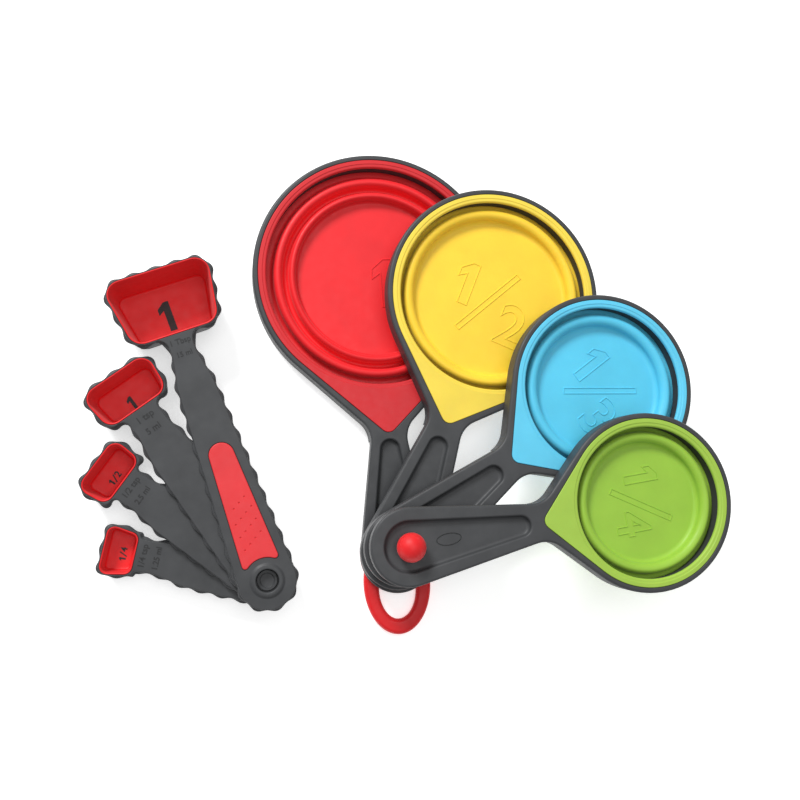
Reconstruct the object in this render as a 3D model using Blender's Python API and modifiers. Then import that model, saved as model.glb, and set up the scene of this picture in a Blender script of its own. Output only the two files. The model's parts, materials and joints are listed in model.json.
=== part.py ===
"""A set of collapsible measuring cups on a hanging loop, and a fan of snap-together measuring spoons.

Both fans lie flat on one surface. Each cup or spoon is modelled along its own handle, with its pivot at
the origin and its bowl at +X, and is then turned to its place in the fan by an empty on the pivot.
All lengths are in metres.
"""

import math

import bmesh
import bpy

# Cups: what every cup shares.
RING_HEIGHT = 0.0090
STACK_GAP = 0.0003
FIT_GAP = 0.0003
COLLAR_BAND = 0.0034
COLLAR_THICKNESS = 0.0016
FRAME_BORDER = 0.0023
TIP_RADIUS = 0.0036
TIP_BORDER = 0.0034
TIP_HALF_ANGLE = math.radians(47)
LIP_OVERHANG = 0.0005
HANDLE_THICKNESS = 0.0047
NECK_HALF_WIDTH = 0.0080
NECK_FILLET = 0.0110
HANDLE_END_RADIUS = 0.0156
POCKET_DEPTH = 0.0024
POCKET_WIDE_RADIUS = 0.0108
POCKET_NARROW_RADIUS = 0.0040
POCKET_TO_TIP = 0.0050
FLANGE_WIDTH = 0.0020
FLANGE_HEIGHT = 0.0015
SILICONE_WALL = 0.0011
FLOOR_THICKNESS = 0.0012
RIDGE_TOP = 0.0056

# Hanging loop with its stem and ball, one moulding.
STEM_RADIUS = 0.0032
STEM_CLEARANCE = 0.0006
BALL_RADIUS = 0.00575
LOOP_LENGTH = 0.0430
LOOP_WIDTH = 0.0288
LOOP_BAND = 0.0065
LOOP_START = -0.0047
LOOP_THICKNESS = RING_HEIGHT - HANDLE_THICKNESS - STACK_GAP
LOOP_EDGE_SHARE = 0.25

# Spoons: what every spoon shares.
SPOON_SET_HEIGHT = 0.0223
BLADE_THICKNESS = 0.0032
BOWL_CORNER_RADIUS = 0.0042
BODY_WALL = 0.0010
LINER_WALL = 0.0010
LINER_FLOOR = 0.0010
DRAFT = math.radians(5)
RIM_BORDER = 0.0019
NECK_CORNER_RADIUS = 0.0035
NECK_LENGTH = 0.0080
NECK_BEND_RADIUS = 0.0100
SHOULDER_FROM_RIM = 0.0200
SHOULDER_RADIUS = 0.0200
JOIN_OVERLAP = 0.0010
WAVE_PITCH = 0.0086
WAVE_DEPTH = 0.0005
HANG_HOLE_RADIUS = 0.0045
HOLE_LIP_WIDTH = 0.0018
HOLE_LIP_HEIGHT = 0.0008
PEG_HEIGHT = 0.0020
PEG_CLEARANCE = 0.0004
PEG_RECESS_EXTRA = 0.0004
FOOT_RADIUS = 0.0070
PAD_THICKNESS = 0.0010
PAD_TOP_RADIUS = 0.0050
PAD_REACH = 0.0525
PAD_TO_LIP = 0.0028
PAD_INNER_RADIUS = HANG_HOLE_RADIUS + HOLE_LIP_WIDTH + PAD_TO_LIP
PAD_HALF_WIDTH = 0.0076

# Where the two fans pivot, with the origin under the middle of the whole set.
CUP_PIVOT = (-0.0045, -0.0652)
SPOON_PIVOT = (-0.0589, -0.0779)
LOOP_ANGLE = -87.0
TURN_STEPS = 36

# Each cup: name, fan angle, pivot to bowl centre, bowl opening radius, flat floor radius, how far the
# handle's end circle is set back from the pivot, folds in the bowl's wall, and colour.
CUPS = (
    ("cup_1", 93.8, 0.1156, 0.0477, 0.0336, 0.0050, 2, (0.82, 0.035, 0.045)),
    ("cup_1_2", 68.3, 0.1138, 0.0412, 0.0327, 0.0030, 1, (0.90, 0.72, 0.06)),
    ("cup_1_3", 36.8, 0.1080, 0.0347, 0.0258, 0.0012, 1, (0.11, 0.65, 0.90)),
    ("cup_1_4", 9.2, 0.1020, 0.0312, 0.0232, 0.0000, 1, (0.36, 0.66, 0.08)),
)

# Each spoon, from the top of the stack down: name, fan angle, height of the bowl's underside, near and
# far edge of the bowl, half width there, half width of the neck, half width of the blade, end radius.
SPOONS = (
    ("tablespoon", 110.3, 0.0000, 0.1046, 0.1312, 0.0171, 0.0219, 0.0048, 0.0078, 0.0121),
    ("teaspoon", 126.8, 0.0006, 0.0848, 0.1009, 0.0135, 0.0150, 0.0060, 0.0092, 0.0115),
    ("half_teaspoon", 145.2, 0.0003, 0.0683, 0.0810, 0.0107, 0.0116, 0.0060, 0.0092, 0.0115),
    ("quarter_teaspoon", 168.4, 0.0017, 0.0525, 0.0645, 0.0079, 0.0101, 0.0060, 0.0092, 0.0115),
)

GREY = (0.075, 0.078, 0.082)
SPOON_RED = (0.80, 0.03, 0.04)
LOOP_RED = (0.76, 0.03, 0.04)


# Scene and materials


def clear_scene():
    for obj in list(bpy.data.objects):
        bpy.data.objects.remove(obj, do_unlink=True)


def new_collection(name, hidden=False):
    collection = bpy.data.collections.new(name)
    bpy.context.scene.collection.children.link(collection)
    collection.hide_render = hidden
    return collection


def new_material(name, colour, roughness):
    material = bpy.data.materials.new(name)
    material.use_nodes = True
    shader = material.node_tree.nodes["Principled BSDF"]
    shader.inputs["Base Color"].default_value = (*colour, 1)
    shader.inputs["Roughness"].default_value = roughness
    shader.inputs["Metallic"].default_value = 0
    return material


def put(obj, collection, parent=None, material=None):
    """Links an object, hangs it on its pivot's empty, and gives it its material."""
    collection.objects.link(obj)
    obj.parent = parent
    if material:
        obj.data.materials.append(material)
    if collection.hide_render:
        obj.hide_render = True
        obj.display_type = "WIRE"
    return obj


def pivot_empty(name, place, height, degrees):
    empty = bpy.data.objects.new(name, None)
    empty.location = (*place, height)
    empty.rotation_euler.z = math.radians(degrees)
    bpy.context.scene.collection.objects.link(empty)
    return empty


# Outlines


def arc(centre, radius, start, end, count):
    """Points on an arc about a centre on the handle's axis, angles in radians."""
    step = (end - start) / count
    angles = [start + step * i for i in range(count + 1)]
    return [(centre + radius * math.cos(a), radius * math.sin(a)) for a in angles]


def mirrored(half):
    """Closes a half outline that runs from the far end (v = 0) round the +Y side to the near end (v = 0)."""
    inner = [(x, -y) for x, y in reversed(half) if abs(y) > 1e-7]
    return half + inner


def tangent_normal(far, far_radius, near, near_radius):
    """Unit normal of the +Y tangent line shared by two circles on the handle's axis."""
    along = (near_radius - far_radius) / (far - near)
    return along, math.sqrt(1 - along * along)


def crossing(normal_a, reach_a, normal_b, reach_b):
    """The point p with p . normal_a = reach_a and p . normal_b = reach_b."""
    det = normal_a[0] * normal_b[1] - normal_a[1] * normal_b[0]
    x = (reach_a * normal_b[1] - reach_b * normal_a[1]) / det
    y = (normal_a[0] * reach_b - normal_b[0] * reach_a) / det
    return x, y


def rounded_corner(before, corner, after, radius, count=4):
    """The arc that rounds one corner of an outline."""
    a = (before[0] - corner[0], before[1] - corner[1])
    b = (after[0] - corner[0], after[1] - corner[1])
    length_a, length_b = math.hypot(*a), math.hypot(*b)
    a, b = (a[0] / length_a, a[1] / length_a), (b[0] / length_b, b[1] / length_b)
    half = math.acos(max(-1, min(1, a[0] * b[0] + a[1] * b[1]))) / 2
    setback = min(radius / math.tan(half), 0.98 * length_a, 0.98 * length_b)
    radius = setback * math.tan(half)
    middle = (a[0] + b[0], a[1] + b[1])
    scale = radius / math.sin(half) / math.hypot(*middle)
    centre = (corner[0] + middle[0] * scale, corner[1] + middle[1] * scale)
    start = math.atan2(corner[1] + a[1] * setback - centre[1], corner[0] + a[0] * setback - centre[0])
    end = math.atan2(corner[1] + b[1] * setback - centre[1], corner[0] + b[0] * setback - centre[0])
    turn = (end - start + math.pi) % (2 * math.pi) - math.pi
    angles = [start + turn * i / count for i in range(count + 1)]
    return [(centre[0] + radius * math.cos(t), centre[1] + radius * math.sin(t)) for t in angles]


def rounded_path(corners):
    """An open path through (x, y, radius) corners. Its two ends stay sharp."""
    path = [corners[0][:2]]
    for before, corner, after in zip(corners, corners[1:], corners[2:]):
        if corner[2]:
            path += rounded_corner(before[:2], corner[:2], after[:2], corner[2])
        else:
            path.append(corner[:2])
    return path + [corners[-1][:2]]


def two_circles(far, far_radius, near, near_radius, far_steps=12, near_steps=8):
    """Outline of a belt round two circles on the handle's axis."""
    normal = tangent_normal(far, far_radius, near, near_radius)
    lean = math.atan2(normal[1], normal[0])
    half = arc(far, far_radius, 0, lean, far_steps)
    half += arc(near, near_radius, lean, math.pi, near_steps)
    return mirrored(half)


def circle(centre, radius, count=TURN_STEPS):
    return arc(centre, radius, 0, 2 * math.pi, count)[:-1]


def along(path):
    """Distance from the start of a closed path to each of its points, and its whole length."""
    total = 0
    distances = []
    for here, there in zip(path, path[1:] + path[:1]):
        distances.append(total)
        total += math.dist(here, there)
    return distances, total


def evenly_spaced(path, count):
    """The same closed path with its points spread evenly."""
    distances, total = along(path)
    ends = path[1:] + path[:1]
    points = []
    piece = 0
    for i in range(count):
        wanted = total * i / count
        while piece + 1 < len(path) and distances[piece + 1] <= wanted:
            piece += 1
        (x0, y0), (x1, y1) = path[piece], ends[piece]
        share = (wanted - distances[piece]) / math.dist(path[piece], ends[piece])
        points.append((x0 + (x1 - x0) * share, y0 + (y1 - y0) * share))
    return points


def wavy(path, pitch, depth, per_wave=4):
    """A closed outline with a gentle wave along its edge, as a whole number of waves."""
    waves = round(along(path)[1] / pitch)
    smooth = evenly_spaced(path, waves * per_wave)
    points = []
    for i, (x, y) in enumerate(smooth):
        before, after = smooth[i - 1], smooth[(i + 1) % len(smooth)]
        dx, dy = after[0] - before[0], after[1] - before[1]
        push = depth * math.cos(2 * math.pi * i / per_wave) / math.hypot(dx, dy)
        points.append((x + dy * push, y - dx * push))
    return points


# Solids


def plate(name, outlines, low, high, bevel=0.0):
    """A flat plate: the first outline is its edge and any others are holes through it."""
    curve = bpy.data.curves.new(name, "CURVE")
    curve.dimensions = "2D"
    curve.fill_mode = "BOTH"
    curve.extrude = (high - low) / 2 - bevel
    curve.bevel_depth = bevel
    curve.bevel_resolution = 0
    curve.offset = -bevel
    for outline in outlines:
        spline = curve.splines.new("POLY")
        spline.points.add(len(outline) - 1)
        for point, (x, y) in zip(spline.points, outline):
            point.co = (x, y, 0, 1)
        spline.use_cyclic_u = True
    helper = bpy.data.objects.new(name, curve)
    bpy.context.scene.collection.objects.link(helper)
    graph = bpy.context.evaluated_depsgraph_get()
    mesh = bpy.data.meshes.new_from_object(helper.evaluated_get(graph))
    bpy.data.objects.remove(helper)
    bpy.data.curves.remove(curve)
    weld(mesh, (low + high) / 2)
    mesh.name = name
    return bpy.data.objects.new(name, mesh)


def weld(mesh, lift):
    """Joins a converted curve's loose caps to its walls and lifts it to its height."""
    cage = bmesh.new()
    cage.from_mesh(mesh)
    bmesh.ops.remove_doubles(cage, verts=cage.verts, dist=1e-6)
    bmesh.ops.translate(cage, verts=cage.verts, vec=(0, 0, lift))
    bmesh.ops.recalc_face_normals(cage, faces=cage.faces)
    cage.to_mesh(mesh)
    cage.free()


def tapered(name, outline, top, bottom, draft, rise=0.0):
    """A block below an outline, drawn in towards its base by the draft angle. Its top face may rise clear."""
    cage = bmesh.new()
    face = cage.faces.new([cage.verts.new((x, y, top)) for x, y in outline])
    lower = bmesh.ops.extrude_face_region(cage, geom=[face])["geom"]
    moved = [item for item in lower if isinstance(item, bmesh.types.BMVert)]
    bmesh.ops.translate(cage, verts=moved, vec=(0, 0, bottom - top))
    xs, ys = [x for x, _ in outline], [y for _, y in outline]
    half = (max(xs) - min(xs)) / 2, (max(ys) - min(ys)) / 2
    middle = (max(xs) + min(xs)) / 2
    inset = (top - bottom) * math.tan(draft)
    for vert in moved:
        vert.co.x = middle + (vert.co.x - middle) * (1 - inset / half[0])
        vert.co.y *= 1 - inset / half[1]
    for vert in face.verts:
        vert.co.z += rise
    bmesh.ops.recalc_face_normals(cage, faces=cage.faces)
    mesh = bpy.data.meshes.new(name)
    cage.to_mesh(mesh)
    cage.free()
    return bpy.data.objects.new(name, mesh)


def turned(name, profile, closed=True, centre=0.0, steps=TURN_STEPS):
    """A profile of (radius, height) points, clockwise, turned about an upright axis."""
    mesh = bpy.data.meshes.new(name)
    last = len(profile) if closed else len(profile) - 1
    edges = [(i, (i + 1) % len(profile)) for i in range(last)]
    mesh.from_pydata([(r, 0, z) for r, z in profile], edges, [])
    obj = bpy.data.objects.new(name, mesh)
    obj.location.x = centre
    screw = obj.modifiers.new("Turn", "SCREW")
    screw.steps = steps
    screw.render_steps = steps
    screw.use_merge_vertices = True
    screw.merge_threshold = 1e-5
    return obj


def cylinder(name, radius, low, high, centre=0.0, steps=TURN_STEPS):
    return turned(name, [(0, high), (radius, high), (radius, low), (0, low)], False, centre, steps)


def boolean(obj, other, operation="DIFFERENCE"):
    modifier = obj.modifiers.new(operation.title(), "BOOLEAN")
    modifier.operation = operation
    modifier.object = other


def soften(obj):
    """Smooth shading that keeps the hard edges hard."""
    obj.data.shade_smooth()
    obj.data.set_sharp_from_angle(angle=math.radians(35))


# Cups


def collar_tip(reach, opening):
    """Centre of the collar's rounded tip, on the handle's axis."""
    corner = reach - (opening + COLLAR_BAND) / math.sin(TIP_HALF_ANGLE)
    return corner + TIP_RADIUS / math.sin(TIP_HALF_ANGLE)


def collar_outline(reach, opening, grow=0.0):
    tip = collar_tip(reach, opening)
    return two_circles(reach, opening + COLLAR_BAND + grow, tip, TIP_RADIUS + grow, 20)


def frame_outline(reach, opening, set_back):
    """The bowl's ring runs straight in to the neck, and a hollow fillet leads on into the handle."""
    tip = collar_tip(reach, opening)
    ring_radius = opening + COLLAR_BAND + FRAME_BORDER
    tip_radius = TIP_RADIUS + TIP_BORDER
    neck = tip - TIP_RADIUS - POCKET_TO_TIP
    ring_normal = tangent_normal(reach, ring_radius, tip, tip_radius)
    side_normal = tangent_normal(neck, NECK_HALF_WIDTH, -set_back, HANDLE_END_RADIUS)
    ring_reach = ring_radius + reach * ring_normal[0]
    side_reach = HANDLE_END_RADIUS - set_back * side_normal[0]
    corner = crossing(ring_normal, ring_reach, side_normal, side_reach)
    ring_lean = math.atan2(ring_normal[1], ring_normal[0])
    side_lean = math.atan2(side_normal[1], side_normal[0])
    half = arc(reach, ring_radius, 0, ring_lean, 20)
    end = arc(-set_back, HANDLE_END_RADIUS, side_lean, math.pi, 10)
    half += rounded_corner(half[-1], corner, end[0], NECK_FILLET, 6)
    return mirrored(half + end)


def cup_frame(cup, empty, parts, cutters, material):
    name, _, reach, opening, _, set_back, _, _ = cup
    tip = collar_tip(reach, opening)
    bore = opening + LIP_OVERHANG
    under = RING_HEIGHT - HANDLE_THICKNESS
    frame = plate(f"{name}_frame", [frame_outline(reach, opening, set_back), circle(reach, bore)], 0, RING_HEIGHT)
    skirt_end = tip - TIP_RADIUS - TIP_BORDER
    room = HANDLE_END_RADIUS + set_back
    corners = [(-2 * room, -room), (skirt_end, -room), (skirt_end, room), (-2 * room, room)]
    handle_end = tip - TIP_RADIUS - POCKET_TO_TIP - POCKET_NARROW_RADIUS
    pocket = two_circles(handle_end, POCKET_NARROW_RADIUS, 0, POCKET_WIDE_RADIUS, 6, 10)
    seat = collar_outline(reach, opening, FIT_GAP)
    seat_floor = RING_HEIGHT - COLLAR_THICKNESS - FIT_GAP
    rebate = opening + FLANGE_WIDTH + FIT_GAP
    cuts = (
        plate(f"{name}_under_handle", [corners], -RING_HEIGHT, under),
        plate(f"{name}_pocket", [pocket], RING_HEIGHT - POCKET_DEPTH, 2 * RING_HEIGHT),
        plate(f"{name}_collar_seat", [seat], seat_floor, 2 * RING_HEIGHT),
        cylinder(f"{name}_stem_hole", STEM_RADIUS + STEM_CLEARANCE, -RING_HEIGHT, RING_HEIGHT, 0, 24),
        cylinder(f"{name}_flange_rebate", rebate, -RING_HEIGHT, FLANGE_HEIGHT + FIT_GAP, reach),
    )
    for cut in cuts:
        boolean(frame, put(cut, cutters, empty))
    soften(frame)
    return put(frame, parts, empty, material)


def cup_collar(cup, empty, parts, material):
    name, _, reach, opening, _, _, _, _ = cup
    outline = collar_outline(reach, opening)
    low = RING_HEIGHT - COLLAR_THICKNESS
    collar = plate(f"{name}_collar", [outline, circle(reach, opening)], low, RING_HEIGHT)
    soften(collar)
    return put(collar, parts, empty, material)


def arch(inner, outer, low, high, wall, steps=3):
    """Profile of a fold: a band of silicone, bent over from one edge to the other."""
    middle = (inner + outer) / 2
    half = (outer - inner) / 2
    rise = high - low
    turn = [math.pi * (1 - i / steps) for i in range(steps + 1)]
    outside = [(middle + half * math.cos(t), low + rise * math.sin(t)) for t in turn]
    inside = [(middle + (half - wall) * math.cos(t), low + (rise - wall) * math.sin(t)) for t in reversed(turn)]
    return outside + inside


def fold_edges(opening, floor_radius, folds):
    """Radii of the edges of each fold between the frame's flange and the floor, from outside in."""
    outer = opening - 2 * FIT_GAP
    count = 2 * folds - 1
    width = (outer - floor_radius) / count
    return [(outer - width * (i + 1), outer - width * i) for i in range(count)]


def folding_bowl(cup, empty, parts, material):
    """The bowl that opens: a flange in the frame, folds that rise one after another, and the floor."""
    name, _, reach, opening, floor_radius, _, folds, _ = cup
    edge = opening + FLANGE_WIDTH
    flange_profile = [(opening, FLANGE_HEIGHT), (edge, FLANGE_HEIGHT), (edge, 0), (opening, 0)]
    pieces = [turned(f"{name}_bowl_flange", flange_profile, centre=reach)]
    for i, (inner, outer) in enumerate(fold_edges(opening, floor_radius, folds)):
        inner += FIT_GAP
        if i % 2 == 0:
            profile = arch(inner, outer, FLOOR_THICKNESS, RIDGE_TOP, SILICONE_WALL)
        else:
            depth = RIDGE_TOP - FLOOR_THICKNESS
            profile = [(r, RIDGE_TOP - z) for r, z in arch(inner, outer, 0, depth, SILICONE_WALL)][::-1]
        pieces.append(turned(f"{name}_bowl_fold_{i + 1}", profile, centre=reach))
    pieces.append(cylinder(f"{name}_bowl_floor", floor_radius, 0, FLOOR_THICKNESS, reach))
    for piece in pieces:
        put(piece, parts, empty, material)


def pressed_bowl(cup, empty, parts, material):
    """A bowl that stays flat here: flange, fold and floor in one moulding."""
    name, _, reach, opening, floor_radius, _, folds, _ = cup
    inner, outer = fold_edges(opening, floor_radius, folds)[0]
    edge = opening + FLANGE_WIDTH
    fold = arch(inner, outer, FLOOR_THICKNESS, RIDGE_TOP, SILICONE_WALL)
    over, under = fold[: len(fold) // 2], fold[len(fold) // 2 :]
    profile = [(0, FLOOR_THICKNESS)] + over + [(edge, FLANGE_HEIGHT), (edge, 0)]
    profile += [(r, max(z - FLOOR_THICKNESS, 0)) for r, z in under] + [(0, 0)]
    put(turned(f"{name}_bowl", profile, False, reach), parts, empty, material)


def add_cup(level, cup, parts, cutters, grey):
    name, degrees, _, _, _, _, folds, colour = cup
    silicone = new_material(f"{name}_silicone", colour, 0.5)
    empty = pivot_empty(f"{name}_pivot", CUP_PIVOT, level, degrees)
    cup_frame(cup, empty, parts, cutters, grey)
    cup_collar(cup, empty, parts, silicone)
    if folds > 1:
        folding_bowl(cup, empty, parts, silicone)
    else:
        pressed_bowl(cup, empty, parts, silicone)


def hanging_loop(parts, cutters, material):
    """A flat oval loop, the stem through every handle, and the ball that keeps the cups on it."""
    empty = pivot_empty("loop_pivot", CUP_PIVOT, 0, LOOP_ANGLE)
    middle = LOOP_START + LOOP_LENGTH / 2
    ratio = LOOP_WIDTH / LOOP_LENGTH
    outside = [(x, y * ratio) for x, y in circle(middle, LOOP_LENGTH / 2, 32)]
    hole_low = STEM_RADIUS + LOOP_BAND / 2
    hole_high = LOOP_START + LOOP_LENGTH - LOOP_BAND
    hole_middle = (hole_low + hole_high) / 2
    hole_ratio = (LOOP_WIDTH - 2 * LOOP_BAND) / (hole_high - hole_low)
    inside = [(x, y * hole_ratio) for x, y in circle(hole_middle, (hole_high - hole_low) / 2, 24)]
    loop = plate("hanging_loop", [outside, inside], 0, LOOP_THICKNESS, LOOP_THICKNESS * LOOP_EDGE_SHARE)
    pitch = RING_HEIGHT + STACK_GAP
    pocket_floor = (len(CUPS) - 1) * pitch + RING_HEIGHT - POCKET_DEPTH
    hole = STEM_RADIUS + STEM_CLEARANCE
    ball_height = pocket_floor + math.sqrt(BALL_RADIUS**2 - hole**2) + 2 * FIT_GAP
    stem = cylinder("loop_stem", STEM_RADIUS, LOOP_THICKNESS / 2, ball_height, 0, 24)
    turn = [math.pi / 2 - math.pi * i / 12 for i in range(13)]
    ball_profile = [(BALL_RADIUS * math.cos(t), ball_height + BALL_RADIUS * math.sin(t)) for t in turn]
    ball = turned("loop_ball", ball_profile, False, 0, 24)
    for piece in (stem, ball):
        boolean(loop, put(piece, cutters, empty), "UNION")
    soften(loop)
    put(loop, parts, empty, material)


# Spoons


def rim_height(spoon):
    """The blades lie one on another, so each rim is one blade and one gap below the last."""
    return SPOON_SET_HEIGHT - SPOONS.index(spoon) * (BLADE_THICKNESS + STACK_GAP)


def bowl_corners(spoon, grow):
    """The rounded four-sided bowl: the +Y half of its outline, from the far edge to the near edge."""
    _, _, _, near, far, near_half, far_half, _, _, _ = spoon
    radius = BOWL_CORNER_RADIUS + grow
    return [
        (far + grow, 0, 0),
        (far + grow, far_half + grow, radius),
        (near - grow, near_half + grow, radius),
        (near - grow, 0, 0),
    ]


def bowl_outline(spoon, grow):
    return mirrored(rounded_path(bowl_corners(spoon, grow)))


def blade_outline(spoon):
    """Bowl rim, narrow neck, and a blade that widens towards the pivot."""
    _, _, _, near, _, _, _, neck, blade, end_radius = spoon
    rim = bowl_corners(spoon, RIM_BORDER)[:3]
    edge = near - RIM_BORDER
    flare = edge - SHOULDER_FROM_RIM
    normal = tangent_normal(flare, blade, 0, end_radius)
    end = arc(0, end_radius, math.atan2(normal[1], normal[0]), math.pi, 12)
    neck_top = (edge, neck, NECK_CORNER_RADIUS)
    neck_foot = (edge - NECK_LENGTH, neck, NECK_BEND_RADIUS)
    corners = rim + [neck_top, neck_foot, (flare, blade, SHOULDER_RADIUS), (*end[0], 0)]
    return mirrored(rounded_path(corners) + end[1:])


def spoon_body(spoon, lowest, empty, parts, cutters, material):
    name, _, underside = spoon[:3]
    top = rim_height(spoon)
    under = top - BLADE_THICKNESS
    joined = top - JOIN_OVERLAP
    body = plate(f"{name}_body", [wavy(blade_outline(spoon), WAVE_PITCH, WAVE_DEPTH)], under, top)
    shell = tapered(f"{name}_bowl_outside", bowl_outline(spoon, FIT_GAP + BODY_WALL), joined, underside, DRAFT)
    boolean(body, put(shell, cutters, empty), "UNION")
    opening = bowl_outline(spoon, FIT_GAP)
    cavity = tapered(f"{name}_bowl_cavity", opening, top, underside + BODY_WALL, DRAFT, FIT_GAP)
    boolean(body, put(cavity, cutters, empty))
    if spoon is SPOONS[0]:
        finish_hang_hole(name, top, under, body, empty, cutters)
    else:
        peg = cylinder(f"{name}_peg", HANG_HOLE_RADIUS - PEG_CLEARANCE, joined, top + PEG_HEIGHT, 0, 24)
        boolean(body, put(peg, cutters, empty), "UNION")
        if lowest:
            foot = cylinder(f"{name}_foot", FOOT_RADIUS, 0, under + JOIN_OVERLAP, 0, 24)
            boolean(body, put(foot, cutters, empty), "UNION")
        else:
            ceiling = under - STACK_GAP + PEG_HEIGHT + PEG_RECESS_EXTRA
            recess = cylinder(f"{name}_peg_recess", HANG_HOLE_RADIUS, under - JOIN_OVERLAP, ceiling, 0, 24)
            boolean(body, put(recess, cutters, empty))
    soften(body)
    return put(body, parts, empty, material)


def finish_hang_hole(name, top, under, body, empty, cutters):
    """The top spoon's hole, with a raised lip, which the next spoon's peg snaps into from below."""
    outer = HANG_HOLE_RADIUS + HOLE_LIP_WIDTH
    lip = cylinder(f"{name}_hole_lip", outer, top - JOIN_OVERLAP, top + HOLE_LIP_HEIGHT, 0, 32)
    boolean(body, put(lip, cutters, empty), "UNION")
    hole = cylinder(f"{name}_hang_hole", HANG_HOLE_RADIUS, under - JOIN_OVERLAP, 2 * top, 0, 32)
    boolean(body, put(hole, cutters, empty))
    seat = plate(f"{name}_pad_seat", [pad_outline(FIT_GAP)], top - PAD_THICKNESS, 2 * top)
    boolean(body, put(seat, cutters, empty))


def spoon_liner(spoon, empty, parts, cutters, material):
    """The coloured cup pressed into the spoon's bowl."""
    name, _, underside = spoon[:3]
    top = rim_height(spoon)
    floor = underside + BODY_WALL + FIT_GAP
    liner = tapered(f"{name}_liner", bowl_outline(spoon, 0), top, floor, DRAFT)
    opening = bowl_outline(spoon, -LINER_WALL)
    inside = tapered(f"{name}_liner_inside", opening, top, floor + LINER_FLOOR, DRAFT, FIT_GAP)
    boolean(liner, put(inside, cutters, empty))
    soften(liner)
    return put(liner, parts, empty, material)


def pad_outline(grow):
    """Grip pad: round at the neck end, and hollowed round the hang hole at the other."""
    inner = PAD_INNER_RADIUS - grow
    half_width = PAD_HALF_WIDTH + grow
    open_angle = math.asin(half_width / inner)
    corner = (inner * math.cos(open_angle), half_width)
    top = arc(PAD_REACH, PAD_TOP_RADIUS + grow, 0, math.pi / 2, 8)
    hollow = arc(0, inner, open_angle, 0, 6)
    return mirrored(top + [corner] + hollow[1:])


def grip_pad(spoon, empty, parts, material):
    name = spoon[0]
    top = rim_height(spoon)
    low = top - PAD_THICKNESS + FIT_GAP
    pad = plate(f"{name}_grip_pad", [pad_outline(0)], low, top + FIT_GAP)
    soften(pad)
    put(pad, parts, empty, material)


def main():
    clear_scene()
    parts = new_collection("measuring_cup_set")
    cutters = new_collection("cutters", hidden=True)
    grey = new_material("grey_handle", GREY, 0.55)
    loop_red = new_material("loop_silicone", LOOP_RED, 0.5)
    spoon_red = new_material("spoon_silicone", SPOON_RED, 0.5)
    for i, cup in enumerate(CUPS):
        add_cup(i * (RING_HEIGHT + STACK_GAP), cup, parts, cutters, grey)
    hanging_loop(parts, cutters, loop_red)
    for spoon in SPOONS:
        empty = pivot_empty(f"{spoon[0]}_pivot", SPOON_PIVOT, 0, spoon[1])
        spoon_body(spoon, spoon is SPOONS[-1], empty, parts, cutters, grey)
        spoon_liner(spoon, empty, parts, cutters, spoon_red)
        if spoon is SPOONS[0]:
            grip_pad(spoon, empty, parts, spoon_red)


main()
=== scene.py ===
# %% [markdown]
# # Folding measuring cups and a fan of measuring spoons
#
# The set has four silicone cups that fold flat in grey plastic frames, a red loop that holds
# them together, and four grey spoons with red silicone linings. This lesson dresses a plain working
# model: it loads that model as a frame, builds a finer piece in the place of each plain one, gives each
# piece its material, and lights the result. Every length is in metres.

# %% Load the working model
import json
import math

import bmesh
import bpy
from mathutils import Matrix, Vector


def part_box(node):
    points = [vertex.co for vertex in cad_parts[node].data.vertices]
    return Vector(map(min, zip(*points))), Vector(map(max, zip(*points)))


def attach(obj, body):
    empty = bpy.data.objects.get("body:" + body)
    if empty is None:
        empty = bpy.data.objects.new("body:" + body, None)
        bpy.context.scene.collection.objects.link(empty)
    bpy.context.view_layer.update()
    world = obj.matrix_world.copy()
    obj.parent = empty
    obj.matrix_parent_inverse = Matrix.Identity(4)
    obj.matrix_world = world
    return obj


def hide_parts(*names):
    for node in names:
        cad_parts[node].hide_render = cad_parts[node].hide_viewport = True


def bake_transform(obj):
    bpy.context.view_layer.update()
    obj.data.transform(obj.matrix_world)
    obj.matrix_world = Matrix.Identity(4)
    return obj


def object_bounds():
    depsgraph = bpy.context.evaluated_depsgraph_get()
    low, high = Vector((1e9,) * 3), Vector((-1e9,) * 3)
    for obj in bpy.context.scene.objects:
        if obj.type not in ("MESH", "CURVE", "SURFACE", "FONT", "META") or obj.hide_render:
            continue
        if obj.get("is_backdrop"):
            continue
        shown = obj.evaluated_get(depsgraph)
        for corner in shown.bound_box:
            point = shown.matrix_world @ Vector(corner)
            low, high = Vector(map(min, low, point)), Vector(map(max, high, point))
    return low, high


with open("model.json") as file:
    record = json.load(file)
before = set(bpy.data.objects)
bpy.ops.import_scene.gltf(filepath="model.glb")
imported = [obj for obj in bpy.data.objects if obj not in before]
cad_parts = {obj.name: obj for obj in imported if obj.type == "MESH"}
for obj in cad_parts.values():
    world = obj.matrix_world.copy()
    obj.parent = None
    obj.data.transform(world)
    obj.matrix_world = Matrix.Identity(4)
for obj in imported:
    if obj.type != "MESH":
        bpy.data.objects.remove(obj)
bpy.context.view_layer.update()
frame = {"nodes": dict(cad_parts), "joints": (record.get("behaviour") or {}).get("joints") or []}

# %% [markdown]
# ## Where things are
#
# Each cup and each spoon swings about an upright pin, so it is easiest to model it along its own
# handle, with the pin at the origin and the bowl at +X, and then to turn it into its place in the fan.
# The pins come from the joints, and each piece's angle from the middle of its own plain model.

# %% Measure the pins and the handles' directions
joints = {joint["name"]: joint for joint in frame["joints"]}
cup_pin = Vector(joints["cup_1_2_swing"]["pos_m"])
spoon_pin = Vector(joints["teaspoon_swing"]["pos_m"])


def middle_of(node):
    """The mean of a node's separate points, which lies on its handle's line."""
    points = frame["nodes"][node].data.vertices
    spots = {tuple(round(value, 5) for value in point.co) for point in points}
    return sum((Vector(spot) for spot in spots), Vector()) / len(spots)


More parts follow.
